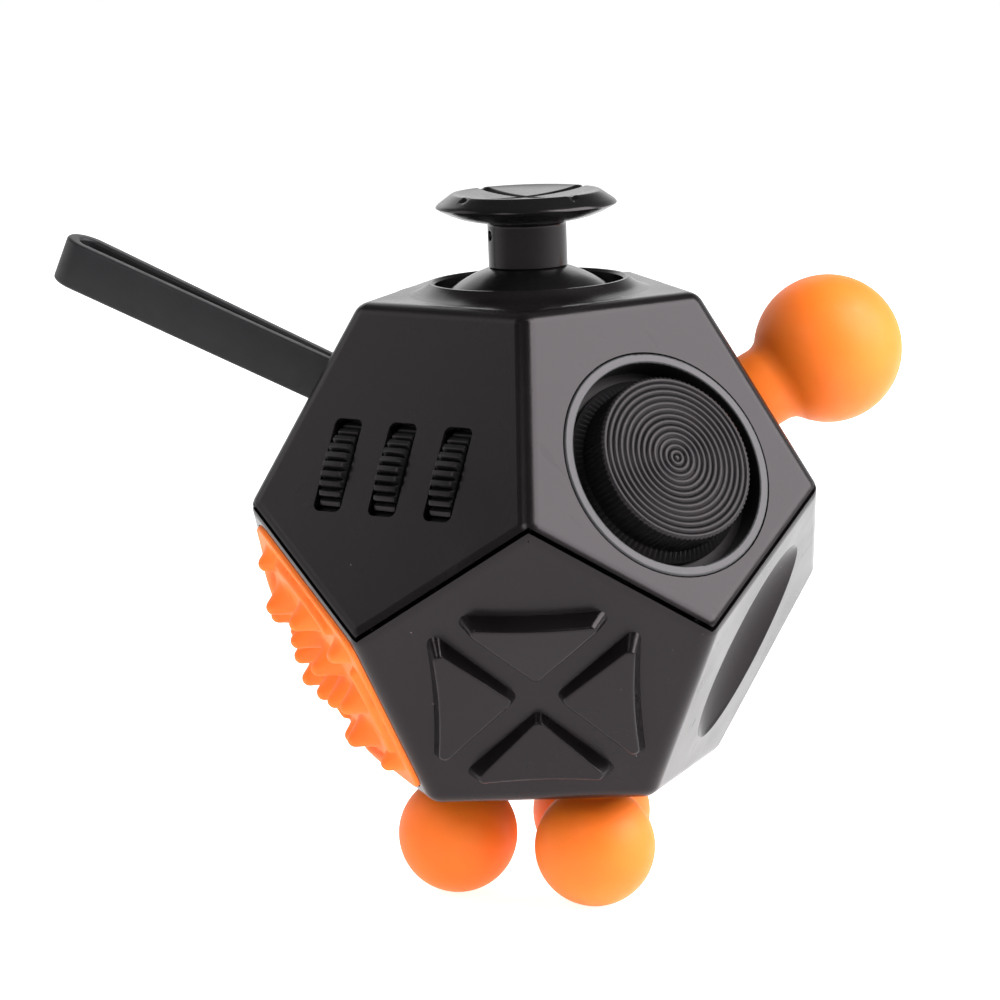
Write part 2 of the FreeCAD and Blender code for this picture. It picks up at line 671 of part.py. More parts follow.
def foot_place(azimuth):
    spot = direction(azimuth, 0) * FOOT_CIRCLE_R
    return FreeCAD.Placement(V(spot.x, spot.y, FOOT_PIVOT_Z), FreeCAD.Rotation(X, 180))


def foot_ball(azimuth):
    arm = FOOT_PIVOT_Z - FOOT_Z
    return moved(bend_ball(FOOT_BALL_R, arm, FOOT_NECK_R, 2.05, 0.75), foot_place(azimuth))


def foot_pad():
    """The silicone plate inside the bottom face, with three domed stubs through it."""
    inside = -BOTTOM_DIST + WALL
    pad = cylinder(10.9, inside, inside + 1.6)
    stubs = []
    for azimuth in FOOT_AZIMUTHS:
        spot = direction(azimuth, 0) * FOOT_CIRCLE_R
        stubs.append(cylinder(1.9, FOOT_PIVOT_Z, inside + 0.2, spot.x, spot.y))
        stubs.append(Part.makeSphere(1.9, V(spot.x, spot.y, FOOT_PIVOT_Z)))
    pad = union([pad] + stubs)
    return pad.cut([cylinder(1.9, inside - 1, inside + 3, s.x, s.y) for s in retainer_screw_positions()])


def foot_retainer():
    """A disc screwed down on the foot pad, which it clamps to the shell."""
    low = -BOTTOM_DIST + WALL + 1.6
    plate = cylinder(10.4, low, low + 1.2)
    holes = [cylinder(0.9, low - 1, low + 2, s.x, s.y) for s in retainer_screw_positions()]
    holes += [cylinder(0.8, low - 1, low + 2, s.x, s.y) for s in frame_screw_positions()]
    return plate.cut(holes)


def foot_screws():
    z = -BOTTOM_DIST + WALL + 2.8
    one = screw(1.5, 1.0, 0.78, 3.6)
    spots = retainer_screw_positions()
    return copies(one, [V(s.x, s.y, z) for s in spots])


def frame_screws():
    z = -BOTTOM_DIST + WALL + 4.2
    one = screw(1.1, 0.7, 0.75, 2.4)
    spots = frame_screw_positions()
    return copies(one, [V(s.x, s.y, z) for s in spots])


# ---------- strap ----------

def strap_outline(bar_r, neck, end_r, end_h):
    """Half-round at both ends, narrowest just outside the body."""
    neck_h = 1.0
    right = [V(bar_r, 0, -STRAP_BAR_DEPTH), V(neck, 0, neck_h), V(end_r, 0, end_h)]
    left = [V(-p.x, 0, p.z) for p in right]
    edges = [
        Part.LineSegment(right[0], right[1]),
        Part.LineSegment(right[1], right[2]),
        Part.Arc(right[2], V(0, 0, end_h + end_r), left[2]),
        Part.LineSegment(left[2], left[1]),
        Part.LineSegment(left[1], left[0]),
        Part.Arc(left[0], V(0, 0, -STRAP_BAR_DEPTH - bar_r), right[0]),
    ]
    wire = Part.Wire([e.toShape() for e in edges])
    return Part.Face(wire)


def strap():
    end_h = STRAP_LENGTH - STRAP_END_R
    bar_r = STRAP_BAR_R + RUNNING
    outer = strap_outline(bar_r + STRAP_THICK, STRAP_NECK, STRAP_END_R, end_h)
    inner = strap_outline(bar_r, STRAP_NECK - STRAP_THICK, STRAP_END_R - STRAP_THICK, end_h)
    band = outer.cut(inner).extrude(V(0, STRAP_WIDTH, 0))
    band.translate(V(0, -STRAP_WIDTH / 2, 0))
    return moved(band, strap_placement())


def strap_bar():
    half = STRAP_WIDTH / 2 + 1.1
    bar = rod(STRAP_BAR_R, V(0, -half, -STRAP_BAR_DEPTH), V(0, half, -STRAP_BAR_DEPTH))
    return moved(bar, strap_placement())


# ---------- massage pad ----------

def spike_pad():
    """A soft pentagonal plate, tall spikes in two rings, and three plugs through the shell."""
    plate = pentagon_block(PAD_INRADIUS, -PAD_SINK, PAD_PROUD, 2.5)
    parts = [plate]
    for count, ring_r, base_r, turn in ((5, 3.4, 1.6, 90), (5, 7.6, 1.7, 54)):
        for k in range(count):
            angle = math.radians(turn + 360.0 * k / count)
            foot = V(ring_r * math.cos(angle), ring_r * math.sin(angle), PAD_PROUD - 0.2)
            parts.append(Part.makeCone(base_r, 0.45, SPIKE_HEIGHT + 0.2, foot, Z))
    for k in range(5):
        angle = math.radians(90 + 72 * k)
        foot = V(11.6 * math.cos(angle), 11.6 * math.sin(angle), PAD_PROUD - 0.2)
        parts.append(Part.makeCone(1.2, 0.4, 1.6, foot, Z))
    for u, v in pad_plug_positions():
        parts.append(cylinder(1.15, -WALL - 1.2, -PAD_SINK + 0.1, u, v))
        parts.append(cylinder(1.6, -WALL - 2.0, -WALL - 1.2, u, v))
    return on_face(union(parts), "spikes")


# ---------- click buttons ----------

def button(u, v):
    cap = cylinder(BUTTON_R, -WALL - 0.4, BUTTON_RISE)
    cap = cap.makeFillet(0.6, [e for e in cap.Edges if e.BoundBox.ZMin > BUTTON_RISE - 0.01])
    flange = cylinder(BUTTON_R + 0.45, -WALL - 1.0, -WALL - 0.05)
    guide = cylinder(0.7, -CARRIER_DEPTH + 1.4, -WALL - 0.9)
    solid = union([cap, flange, guide])
    solid.translate(V(u, v, 0))
    return on_face(solid, "buttons")


def button_spring(u, v):
    spring = coil_spring(1.4, 0.3, -CARRIER_DEPTH, -WALL - 1.0, 3.5)
    spring.translate(V(u, v, 0))
    return on_face(spring, "buttons")


def button_carrier():
    left = [(-6.4, 6.6), (-CARRIER_SCREW_U - 2, 1.4), (-CARRIER_SCREW_U - 2, -2.4), (-6.4, -8.2)]
    right = [(-u, v) for u, v in reversed(left)]
    plate = prism(left + right, -CARRIER_DEPTH - 1.0, -CARRIER_DEPTH)
    holes = [cylinder(0.9, -9, 0, u, v) for u, v in button_positions()]
    holes += [cylinder(0.9, -9, 0, u, BUTTON_MID_V) for u in (-CARRIER_SCREW_U, CARRIER_SCREW_U)]
    return on_face(plate.cut(holes), "buttons")


def carrier_screws():
    one = screw(1.4, 0.9, 0.78, 3.2)
    flip = FreeCAD.Rotation(X, 180)
    places = [V(side * CARRIER_SCREW_U, BUTTON_MID_V, -CARRIER_DEPTH - 1.0) for side in (-1, 1)]
    spots = [FreeCAD.Placement(place, flip) for place in places]
    return Part.makeCompound([on_face(moved(one, spot), "buttons") for spot in spots])


# ---------- rocker switch ----------

def rocker_place():
    return FreeCAD.Placement(V(0, 0, -ROCKER_PIVOT_DEPTH), FreeCAD.Rotation(X, ROCKER_ANGLE))


def rocker():
    """A shallow-V rocker at its thrown position, turning on a pin across the face."""
    half = ROCKER_LENGTH / 2
    rise = ROCKER_PIVOT_DEPTH
    points = [V(0, half - 0.4, rise + 1.7), V(0, 0, rise + 0.5), V(0, -half + 0.4, rise + 1.7)]
    low = [V(0, -half + 0.8, rise - 2.3), V(0, 0, -1.9), V(0, half - 0.8, rise - 2.3)]
    wire = Part.makePolygon(points + low + points[:1])
    solid = Part.Face(wire).extrude(V(ROCKER_WIDTH, 0, 0))
    solid.translate(V(-ROCKER_WIDTH / 2, 0, 0))
    solid = solid.cut(rod(0.8 + RUNNING, V(-9, 0, 0), V(9, 0, 0)))
    return on_face(moved(solid, rocker_place()), "rocker")


def switch_housing():
    """The box behind the rocker, flush in the shell, with the pin through its sides."""
    u = ROCKER_WIDTH / 2
    v = ROCKER_LENGTH / 2
    outer = block(V(-u - 0.85, -v - 1.05, -6.2), V(u + 0.85, v + 1.05, 0.25))
    outer = outer.makeFillet(0.2, [e for e in outer.Edges if e.BoundBox.ZMin > 0.24])
    inner = block(V(-u - 0.15, -v - 0.35, -5.2), V(u + 0.15, v + 0.35, 2))
    flange = block(V(-u - 1.8, -v - 1.05, -WALL - 1.0), V(u + 1.8, v + 1.05, -WALL))
    housing = union([outer, flange]).cut(inner)
    pin = rod(0.8, V(-u - 0.7, 0, -ROCKER_PIVOT_DEPTH), V(u + 0.7, 0, -ROCKER_PIVOT_DEPTH))
    return on_face(housing.cut(pin), "rocker")


def rocker_pin():
    u = ROCKER_WIDTH / 2 + 0.65
    return on_face(rod(0.8, V(-u, 0, -ROCKER_PIVOT_DEPTH), V(u, 0, -ROCKER_PIVOT_DEPTH)), "rocker")


def rocker_leaf():
    """A bent leaf under the rocker's keel that makes it snap over."""
    points = [(-5.5, -5.2), (-2.4, -5.2), (0, -4.45), (2.4, -5.2), (5.5, -5.2), (5.5, -4.95), (2.5, -4.95),
              (0, -4.2), (-2.5, -4.95), (-5.5, -4.95)]
    wire = Part.makePolygon([V(0, v, h) for v, h in points + points[:1]])
    leaf = Part.Face(wire).extrude(V(4.0, 0, 0))
    leaf.translate(V(-2.0, 0, 0))
    return on_face(leaf, "rocker")


# ---------- captive ball ----------

def roller_ball():
    return on_face(Part.makeSphere(ROLLER_R, V(0, 0, -ROLLER_DEPTH)), "roller")


def roller_cup():
    """The socket behind the wall that keeps the steel ball in."""
    low = -ROLLER_DEPTH - ROLLER_R - 1.0
    cup = cylinder(6.4, low, -WALL)
    cup = cup.makeFillet(2.4, [e for e in cup.Edges if e.BoundBox.ZMax < low + 0.01])
    cup = union([cup, cylinder(7.6, -WALL - 1.0, -WALL)])
    cup = cup.cut(Part.makeSphere(ROLLER_R + RUNNING, V(0, 0, -ROLLER_DEPTH)))
    opening = cylinder(4.92, -ROLLER_DEPTH, 0)
    return on_face(cup.cut(opening), "roller")


# ---------- assembly ----------

def build():
    walls, lip = shell_walls()
    parts = {
        "upper_shell": upper_shell(walls, lip),
        "lower_shell": lower_shell(walls),
        "inner_frame": inner_frame(),
        "frame_screws": frame_screws(),
        "joystick_cap": joystick_cap(),
        "joystick_dome": joystick_dome(),
        "stick_cross_pin": stick_cross_pin(),
        "stick_yoke": stick_yoke(),
        "stick_base": stick_base(),
        "stick_screws": stick_screws(),
        "stick_spring": coil_spring(2.6, 0.3, STICK_PIVOT_Z - 8.8, STICK_PIVOT_Z - 2.3, 5),
        "wheel_axle": wheel_axle(),
        "axle_clips": axle_clips(),
        "dial": dial(),
        "dial_cup": dial_cup(),
        "dial_clip": dial_clip(),
        "dial_click_ring": dial_click_ring(),
        "big_ball": big_ball(),
        "big_ball_root": big_ball_root(),
        "foot_pad": foot_pad(),
        "foot_retainer": foot_retainer(),
        "foot_screws": foot_screws(),
        "strap": strap(),
        "strap_bar": strap_bar(),
        "spike_pad": spike_pad(),
        "button_carrier": button_carrier(),
        "carrier_screws": carrier_screws(),
        "switch_housing": switch_housing(),
        "rocker": rocker(),
        "rocker_pin": rocker_pin(),
        "rocker_leaf": rocker_leaf(),
        "roller_ball": roller_ball(),
        "roller_cup": roller_cup(),
    }
    for k, u in enumerate(wheel_positions(), 1):
        parts["thumb_wheel_%d" % k] = thumb_wheel(u)
    for k, azimuth in enumerate(FOOT_AZIMUTHS, 1):
        parts["foot_ball_%d" % k] = foot_ball(azimuth)
    for k, (u, v) in enumerate(button_positions(), 1):
        parts["button_%d" % k] = button(u, v)
        parts["button_spring_%d" % k] = button_spring(u, v)
    return parts


def origin_shift(parts):
    """From the body's centre to the middle of the whole toy's footprint."""
    box = Part.makeCompound(list(parts.values())).optimalBoundingBox(False, False)
    return V(-(box.XMin + box.XMax) / 2, -(box.YMin + box.YMax) / 2, -box.ZMin)


def main():
    os.makedirs("parts", exist_ok=True)
    parts = build()
    shift = origin_shift(parts)
    print("body centre at", [round(c, 4) for c in shift])
    for name, shape in parts.items():
        shape.translate(shift)
        kinds = (len(shape.Solids), shape.isValid(), round(shape.Volume, 1))
        print("%-18s solids %d valid %s volume %.1f" % ((name,) + kinds))
        shape.exportStep(os.path.join("parts", name + ".step"))


main()
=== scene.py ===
"""The looks of a twelve-sided fidget toy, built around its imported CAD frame.

Places are in metres, in the frame of the CAD. Outlines are in millimetres, each in its piece's own frame.
"""

import json
import math

import bpy
import numpy as np
from mathutils import Matrix, Vector


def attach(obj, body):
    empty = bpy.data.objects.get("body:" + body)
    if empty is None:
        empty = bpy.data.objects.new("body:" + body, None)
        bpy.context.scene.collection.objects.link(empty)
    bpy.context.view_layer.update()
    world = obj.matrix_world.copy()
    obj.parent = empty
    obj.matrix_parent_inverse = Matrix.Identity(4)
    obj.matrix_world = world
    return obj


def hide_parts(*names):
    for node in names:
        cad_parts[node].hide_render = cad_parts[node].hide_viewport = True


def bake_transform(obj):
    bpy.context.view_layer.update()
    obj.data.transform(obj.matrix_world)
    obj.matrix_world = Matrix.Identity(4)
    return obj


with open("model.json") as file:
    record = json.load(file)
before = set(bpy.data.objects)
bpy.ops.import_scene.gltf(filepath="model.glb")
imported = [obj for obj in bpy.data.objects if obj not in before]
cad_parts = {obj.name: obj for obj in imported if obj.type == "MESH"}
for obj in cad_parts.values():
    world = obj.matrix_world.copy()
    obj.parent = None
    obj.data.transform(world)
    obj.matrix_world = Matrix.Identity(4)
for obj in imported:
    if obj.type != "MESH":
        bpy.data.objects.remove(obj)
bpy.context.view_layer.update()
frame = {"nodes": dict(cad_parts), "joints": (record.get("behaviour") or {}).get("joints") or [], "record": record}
MM = 0.001
JOINTS = {j["name"]: j for j in frame["joints"]}


# ---------- places ----------

SIDE_TILT = math.degrees(math.atan(0.5))
PIVOT_ABOVE_CENTRE = 14.15 * MM
FACE_DISTANCE = 22.27033 * MM
CENTRE = Vector(JOINTS["joystick_rock"]["pos_m"]) - Vector((0, 0, PIVOT_ABOVE_CENTRE))

# Where the faces look, in degrees: the five upper ones, and the lower one with the pad.
WHEELS_AZIMUTH = -126
DIAL_AZIMUTH = -54
BIG_BALL_AZIMUTH = 18
BUTTONS_AZIMUTH = 90
STRAP_AZIMUTH = 162
PAD_AZIMUTH = -162

# One arm of the cross on the joystick's cap, and the small window in its stem, in degrees.
NOTCH_AZIMUTH = -50.5
WINDOW_AZIMUTH = -160

# Middles of the five buttons on their face, to the right and up, in millimetres.
BUTTON_SPOTS = [(0, -0.8), (-5.2, 4.4), (5.2, 4.4), (-5.2, -6.0), (5.2, -6.0)]

# How far the strap hangs below its face's own direction, in degrees.
STRAP_DROOP = 2.97


def direction(azimuth, tilt):
    """Unit vector at an azimuth and a height above the horizon, both in degrees."""
    a, t = math.radians(azimuth), math.radians(tilt)
    return Vector((math.cos(a) * math.cos(t), math.sin(a) * math.cos(t), math.sin(t)))


def local_frame(origin, normal, right):
    """Matrix of a frame with x along right, z along normal, and its origin where it is told."""
    z = normal.normalized()
    x = (right - z * right.dot(z)).normalized()
    y = z.cross(x)
    m = Matrix.Identity(4)
    for row in range(3):
        m[row] = (x[row], y[row], z[row], origin[row])
    return m


def side_face(azimuth, side):
    """Frame of a side face, z outward and y up; side is 1 for the upper five, -1 for the lower five."""
    normal = direction(azimuth, side * SIDE_TILT)
    return local_frame(CENTRE + normal * FACE_DISTANCE, normal, direction(azimuth + 90, 0))


# ---------- mesh helpers ----------

def smooth(obj, angle):
    """Smooth shading, but for the edges where faces meet at more than an angle in degrees."""
    for poly in obj.data.polygons:
        poly.use_smooth = True
    bpy.context.view_layer.objects.active = obj
    obj.select_set(True)
    bpy.ops.object.shade_smooth_by_angle(angle=math.radians(angle), keep_sharp_edges=True)
    obj.select_set(False)
    return obj


def mesh_object(name, verts, faces, place, material, angle):
    """A mesh from points in millimetres in a local frame, with edges sharp above an angle in degrees."""
    mesh = bpy.data.meshes.new(name)
    mesh.from_pydata([tuple(Vector(v) * MM) for v in verts], [], faces)
    mesh.transform(place)
    mesh.update()
    mesh.validate()
    obj = bpy.data.objects.new(name, mesh)
    bpy.context.scene.collection.objects.link(obj)
    mesh.materials.append(material)
    return smooth(obj, angle)


def lathe(profile, steps, ripple=None):
    """Points and faces of a profile of (radius, height) turned about z.

    ripple(k, angle, r) may change the radius of the profile's point k.
    """
    verts, faces, rows = [], [], []
    for k, (r, h) in enumerate(profile):
        if r < 1e-6:
            rows.append([len(verts)])
            verts.append((0, 0, h))
            continue
        row = []
        for s in range(steps):
            a = 2 * math.pi * s / steps
            q = ripple(k, a, r) if ripple else r
            row.append(len(verts))
            verts.append((q * math.cos(a), q * math.sin(a), h))
        rows.append(row)
    for low, high in zip(rows, rows[1:]):
        for s in range(steps):
            t = (s + 1) % steps
            if len(low) == 1:
                faces.append((low[0], high[s], high[t]))
            elif len(high) == 1:
                faces.append((low[s], high[0], low[t]))
            else:
                faces.append((low[s], high[s], high[t], low[t]))
    return verts, faces


def arc(cx, cy, r, start, end, steps):
    """Points along an arc, from one angle in degrees to another."""
    turn = [math.radians(start + (end - start) * k / steps) for k in range(steps + 1)]
    return [(cx + r * math.cos(a), cy + r * math.sin(a)) for a in turn]


# ---------- materials ----------

def map_range(tree, value, low, high, to_low, to_high):
    """A node that maps a value from one range to another and stops at both ends."""
    node = tree.nodes.new("ShaderNodeMapRange")
    tree.links.new(value, node.inputs["Value"])
    ends = {"From Min": low, "From Max": high, "To Min": to_low, "To Max": to_high}
    for key, end in ends.items():
        node.inputs[key].default_value = end
    return node


class Nodes:
    """Short names for building a material's node tree."""

    def __init__(self, name, base, roughness):
        self.material = bpy.data.materials.new(name)
        self.material.use_nodes = True
        self.tree = self.material.node_tree
        self.shader = self.tree.nodes["Principled BSDF"]
        self.shader.inputs["Base Color"].default_value = (*base, 1)
        self.shader.inputs["Roughness"].default_value = roughness
        self.coordinates = self.tree.nodes.new("ShaderNodeTexCoord").outputs["Object"]

    def new(self, kind, **inputs):
        node = self.tree.nodes.new(kind)
        for key, value in inputs.items():
            self.put(node, key, value)
        return node

    def put(self, node, key, value):
        socket = node.inputs[key.replace("_", " ")] if isinstance(key, str) else node.inputs[key]
        if hasattr(value, "is_output"):
            self.tree.links.new(value, socket)
        else:
            socket.default_value = value

    def noise(self, scale, detail=3.0, rough=0.55, vector=None):
        vector = vector or self.coordinates
        node = self.new("ShaderNodeTexNoise", Vector=vector, Scale=scale, Detail=detail, Roughness=rough)
        return node.outputs["Fac"]

    def map_range(self, value, low, high, to_low, to_high):
        return map_range(self.tree, value, low, high, to_low, to_high).outputs["Result"]

    def combine(self, operation, a, b):
        node = self.tree.nodes.new("ShaderNodeMath")
        node.operation = operation
        self.put(node, 0, a)
        self.put(node, 1, b)
        return node.outputs[0]

    def mix(self, fac, a, b):
        node = self.tree.nodes.new("ShaderNodeMix")
        node.data_type = "RGBA"
        self.put(node, 0, fac)
        self.put(node, 6, a)
        self.put(node, 7, b)
        return node.outputs[2]

    def bump(self, height, distance):
        return self.new("ShaderNodeBump", Height=height, Distance=distance, Strength=1.0).outputs["Normal"]

    def set(self, **inputs):
        for key, value in inputs.items():
            self.put(self.shader, key, value)
        return self.material


def moulded_plastic(name, base, light, roughness, grain=0.004, dust=0.5):
    """Black moulded plastic: slow gloss changes, fine orange peel, dust specks and hairline scratches."""
    n = Nodes(name, base, roughness)
    slow = n.noise(130, 2)
    fine = n.noise(2600, 4, 0.6)
    speck = n.new("ShaderNodeTexVoronoi", Vector=n.coordinates, Scale=700)
    dots = n.map_range(speck.outputs["Distance"], 0.03, 0.055, 1.0, 0.0)
    few = n.map_range(n.noise(420, 1), 0.66, 0.7, 0.0, dust)
    dust_mask = n.combine("MULTIPLY", dots, few)
    stretch = n.new("ShaderNodeMapping", Vector=n.coordinates, Scale=(90, 1400, 300),
                    Rotation=(0.4, 0.7, 0.3))
    scratch = n.map_range(n.noise(1, 2, 0.5, stretch.outputs["Vector"]), 0.69, 0.71, 0.0, 0.05)
    tone = n.mix(n.map_range(slow, 0.3, 0.7, 0.0, 1.0), (*base, 1), (*light, 1))
    dusty = n.mix(dust_mask, tone, (0.35, 0.33, 0.33, 1))
    gloss = n.map_range(slow, 0.3, 0.7, roughness - 0.035, roughness + 0.035)
    rough = n.combine("ADD", gloss, scratch)
    height = n.bump(fine, grain * MM)
    n.set(Specular_Tint=(1.0, 0.9, 0.95, 1), Specular_IOR_Level=0.23)
    return n.set(Base_Color=dusty, Roughness=rough, Normal=height)


def dial_surround_painted_reflection():
    """The dial's cup: a rim in a lighter colour that is a painted reflection, and a dull dark inside."""
    rim_inside, rim_outside = 9.72 * MM, 9.78 * MM
    # The rim's two colours are lighter than the black plastic: a painted reflection.
    rim_reflection_grey, pale = (0.04, 0.041, 0.043), (0.047, 0.048, 0.05)
    material = moulded_plastic("dial_surround_painted_reflection", rim_reflection_grey, pale, 0.36, 0.004, 0.3)
    tree = material.node_tree
    shader = tree.nodes["Principled BSDF"]
    colour = shader.inputs["Base Color"].links[0].from_socket
    away = tree.nodes.new("ShaderNodeVectorMath")
    away.operation = "SUBTRACT"
    tree.links.new(tree.nodes["Texture Coordinate"].outputs["Object"], away.inputs[0])
    away.inputs[1].default_value = JOINTS["dial_spin"]["pos_m"]
    across = tree.nodes.new("ShaderNodeVectorMath")
    across.operation = "CROSS_PRODUCT"
    tree.links.new(away.outputs[0], across.inputs[0])
    across.inputs[1].default_value = JOINTS["dial_spin"]["axis"]
    radius = tree.nodes.new("ShaderNodeVectorMath")
    radius.operation = "LENGTH"
    tree.links.new(across.outputs[0], radius.inputs[0])

    def by_radius(inside, outside):
        node = map_range(tree, radius.outputs["Value"], rim_inside, rim_outside, inside, outside)
        return node.outputs["Result"]

    # Black inside the rim's edge, and the rim's painted reflection outside it.
    mix = tree.nodes.new("ShaderNodeMix")
    mix.data_type = "RGBA"
    tree.links.new(by_radius(0.0, 1.0), mix.inputs[0])
    mix.inputs[6].default_value = (0.006, 0.0056, 0.006, 1)
    tree.links.new(colour, mix.inputs[7])
    tree.links.new(mix.outputs[2], shader.inputs["Base Color"])
    tree.links.new(by_radius(0.1, 0.3), shader.inputs["Specular IOR Level"])
    return material


def silicone(name, base, deep, roughness, scatter, grain=0.01):
    """Soft moulded silicone: matt, a little waxy, with faint cloudiness, and pores darkened with painted shade."""
    n = Nodes(name, base, roughness)
    cloud = n.noise(160, 3)
    fine = n.noise(1900, 4, 0.6)
    tone = n.mix(n.map_range(cloud, 0.3, 0.7, 0.0, 1.0), (*base, 1), (*deep, 1))
    # Pores: tiny spots darkened towards a darker copy of the base colour, painted shade.
    pores = n.new("ShaderNodeTexVoronoi", Vector=n.coordinates, Scale=900)
    pore_painted_shade = n.map_range(pores.outputs["Distance"], 0.05, 0.12, 1.0, 0.0)
    shade = (base[0] * 0.75, base[1] * 0.7, base[2] * 0.7, 1)
    tone = n.mix(n.map_range(pore_painted_shade, 0.0, 1.0, 0.0, 0.16), tone, shade)
    height = n.bump(fine, grain * MM)
    rough = n.map_range(n.noise(700, 2), 0.3, 0.7, roughness - 0.05, roughness + 0.05)
    n.set(Base_Color=tone, Roughness=rough, Normal=height, Specular_IOR_Level=0.35)
    if scatter:
        n.set(Subsurface_Weight=scatter, Subsurface_Radius=(1.0, 0.35, 0.12), Subsurface_Scale=1.4 * MM)
    n.set(Sheen_Weight=0.04, Sheen_Roughness=0.4)
    return n.material


def metal(name, base, roughness, grind=0.002):
    """Steel with fine grinding marks, their depth in millimetres, and slight tarnish."""
    n = Nodes(name, base, roughness)
    lines = n.new("ShaderNodeMapping", Vector=n.coordinates, Scale=(300, 300, 4000))
    brushed = n.noise(1, 3, 0.6, lines.outputs["Vector"])
    cloud = n.noise(300, 2)
    tarnish = (base[0] * 0.85, base[1] * 0.85, base[2] * 0.87, 1)
    tone = n.mix(n.map_range(cloud, 0.3, 0.7, 0.0, 1.0), (*base, 1), tarnish)
    rough = n.map_range(brushed, 0.3, 0.7, max(roughness - 0.05, 0.02), roughness + 0.06)
    return n.set(Base_Color=tone, Roughness=rough, Metallic=1.0, Normal=n.bump(brushed, grind * MM))


SHELL = moulded_plastic("shell_black", (0.0050, 0.0042, 0.0047), (0.0065, 0.0055, 0.0061), 0.25)
STICK = moulded_plastic("stick_black", (0.0045, 0.0042, 0.0044), (0.006, 0.0056, 0.0059), 0.24, 0.004, 0.3)
DIAL = moulded_plastic("dial_black", (0.006, 0.0056, 0.0062), (0.008, 0.0076, 0.0082), 0.4, 0.004, 0.3)
SURROUND_PAINTED_REFLECTION = dial_surround_painted_reflection()
WHEEL = moulded_plastic("wheel_black", (0.006, 0.0057, 0.0057), (0.009, 0.0085, 0.0085), 0.38, 0.006, 0.4)
BUTTON = moulded_plastic("button_black", (0.006, 0.0055, 0.006), (0.008, 0.0074, 0.008), 0.32, 0.006, 0.4)
INNER = moulded_plastic("inner_black", (0.01, 0.01, 0.011), (0.014, 0.014, 0.015), 0.5, 0.01, 0.2)
ORANGE = silicone("orange_silicone", (0.96, 0.2, 0.012), (0.94, 0.178, 0.01), 0.55, 0.25)
STRAP_RUBBER = silicone("strap_rubber", (0.0075, 0.007, 0.0088), (0.0105, 0.01, 0.0118), 0.5, 0.0, 0.02)
STEEL = metal("ground_steel", (0.55, 0.55, 0.56), 0.28)
SPRING = metal("spring_steel", (0.5, 0.5, 0.5), 0.22)
CHROME = metal("polished_ball", (0.78, 0.78, 0.8), 0.07, 0.0005)

SLOT_MATERIALS = {
    "shell_plastic": SHELL,
    "stick_plastic": STICK,
    "dial_plastic": DIAL,
    "wheel_plastic": WHEEL,
    "button_plastic": BUTTON,
    "inner_plastic": INNER,
    "orange_silicone": ORANGE,
    "strap_silicone": STRAP_RUBBER,
    "pin_steel": STEEL,
    "screw_steel": STEEL,
    "spring_steel": SPRING,
    "ball_chrome": CHROME,
}


def finish_cad_nodes():
    """Every CAD node gets the detailed material of its own slot, and the dial's cup one of its own."""
    for part in frame["record"]["subparts"]:
        node = part["node"]
        material = SURROUND_PAINTED_REFLECTION if node == "dial_cup" else SLOT_MATERIALS[part["material_slot"]]
        for slot in frame["nodes"][node].material_slots:
            slot.material = material


finish_cad_nodes()


# ---------- pieces ----------

def placed(joint, normal, right):
    """A frame at a joint's own point."""
    return local_frame(Vector(JOINTS[joint]["pos_m"]), normal, right)


def add_piece(obj, body, slot, *nodes):
    """The piece moves with a body and stands for CAD nodes."""
    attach(obj, body)
    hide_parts(*nodes)
    return obj


def joystick_cap():
    """Thumb disc with a dished top, crossing grooves that end in small notches, and its stem."""
    seat, under, rim, top = 25.37, 29.6, 30.97, 32.3
    stem_r, dish_deep = 3.66, 0.5
    window_z, window_r, window_deep = 28.4, 0.42, 0.13
    groove_half, groove_deep, groove_end, groove_fade = 0.42, 0.32, 7.0, 0.8
    notch_half, notch_deep, notch_r, notch_long = 0.34, 0.3, 7.05, 0.32
    outside = [(2.3, seat + 0.3), (3.45, seat), (stem_r, seat + 0.12)]
    outside += [(stem_r, z) for z in np.linspace(27.5, under - 0.35, 30)]
    outside += arc(4.06, under - 0.35, 0.4, 180, 90, 5)[1:]
    outside += [(5.2, under + 0.16), (6.2, under + 0.4), (7.2, under + 0.78), (8.0, under + 1.18)]
    outside += [(8.32, rim), (8.4, rim + 0.1), (8.38, rim + 0.2), (8.2, rim + 0.4)]
    bevel = [(8.2 - 1.2 * t, rim + 0.4 + 0.86 * t) for t in (0.2, 0.4, 0.6, 0.8, 1.0)]
    edge = [(6.9, top - 0.015), (6.75, top), (6.5, top)]
    dish = [(6.5 * t, top - dish_deep * (1 - t ** 2) ** 0.8) for t in np.linspace(0.98, 0.02, 60)]
    profile = outside + bevel + edge + dish + [(0, top - dish_deep)]
    verts, faces = lathe(profile, 240)
    shaped = []
    for x, y, z in verts:
        r = math.hypot(x, y)
        if r < stem_r + 0.04 and under > z > seat + 0.2:
            turn = math.atan2(y, x) - math.radians(WINDOW_AZIMUTH)
            across = r * math.remainder(turn, 2 * math.pi)
            hollow = 1 - window_deep * math.exp(-(math.hypot(across, z - window_z) / window_r) ** 6)
            x, y = x * hollow, y * hollow
        if z > rim + 0.42 and r > 0:
            turn = math.atan2(y, x) - math.radians(NOTCH_AZIMUTH)
            off = min(abs(math.remainder(turn, math.pi / 2)), 1.0)
            across = r * math.sin(off)
            fade = min(1.0, max(0.0, (groove_end - r) / groove_fade))
            groove = groove_deep * math.exp(-(across / groove_half) ** 4) * fade
            notch = notch_deep * math.exp(-(across / notch_half) ** 4 - ((r - notch_r) / notch_long) ** 4)
            z -= max(groove, notch)
        shaped.append((x, y, z))
    obj = mesh_object("joystick_cap_shaped", shaped, faces, Matrix.Translation(CENTRE), STICK, 35)
    return add_piece(obj, "stick", "stick_plastic", "joystick_cap")


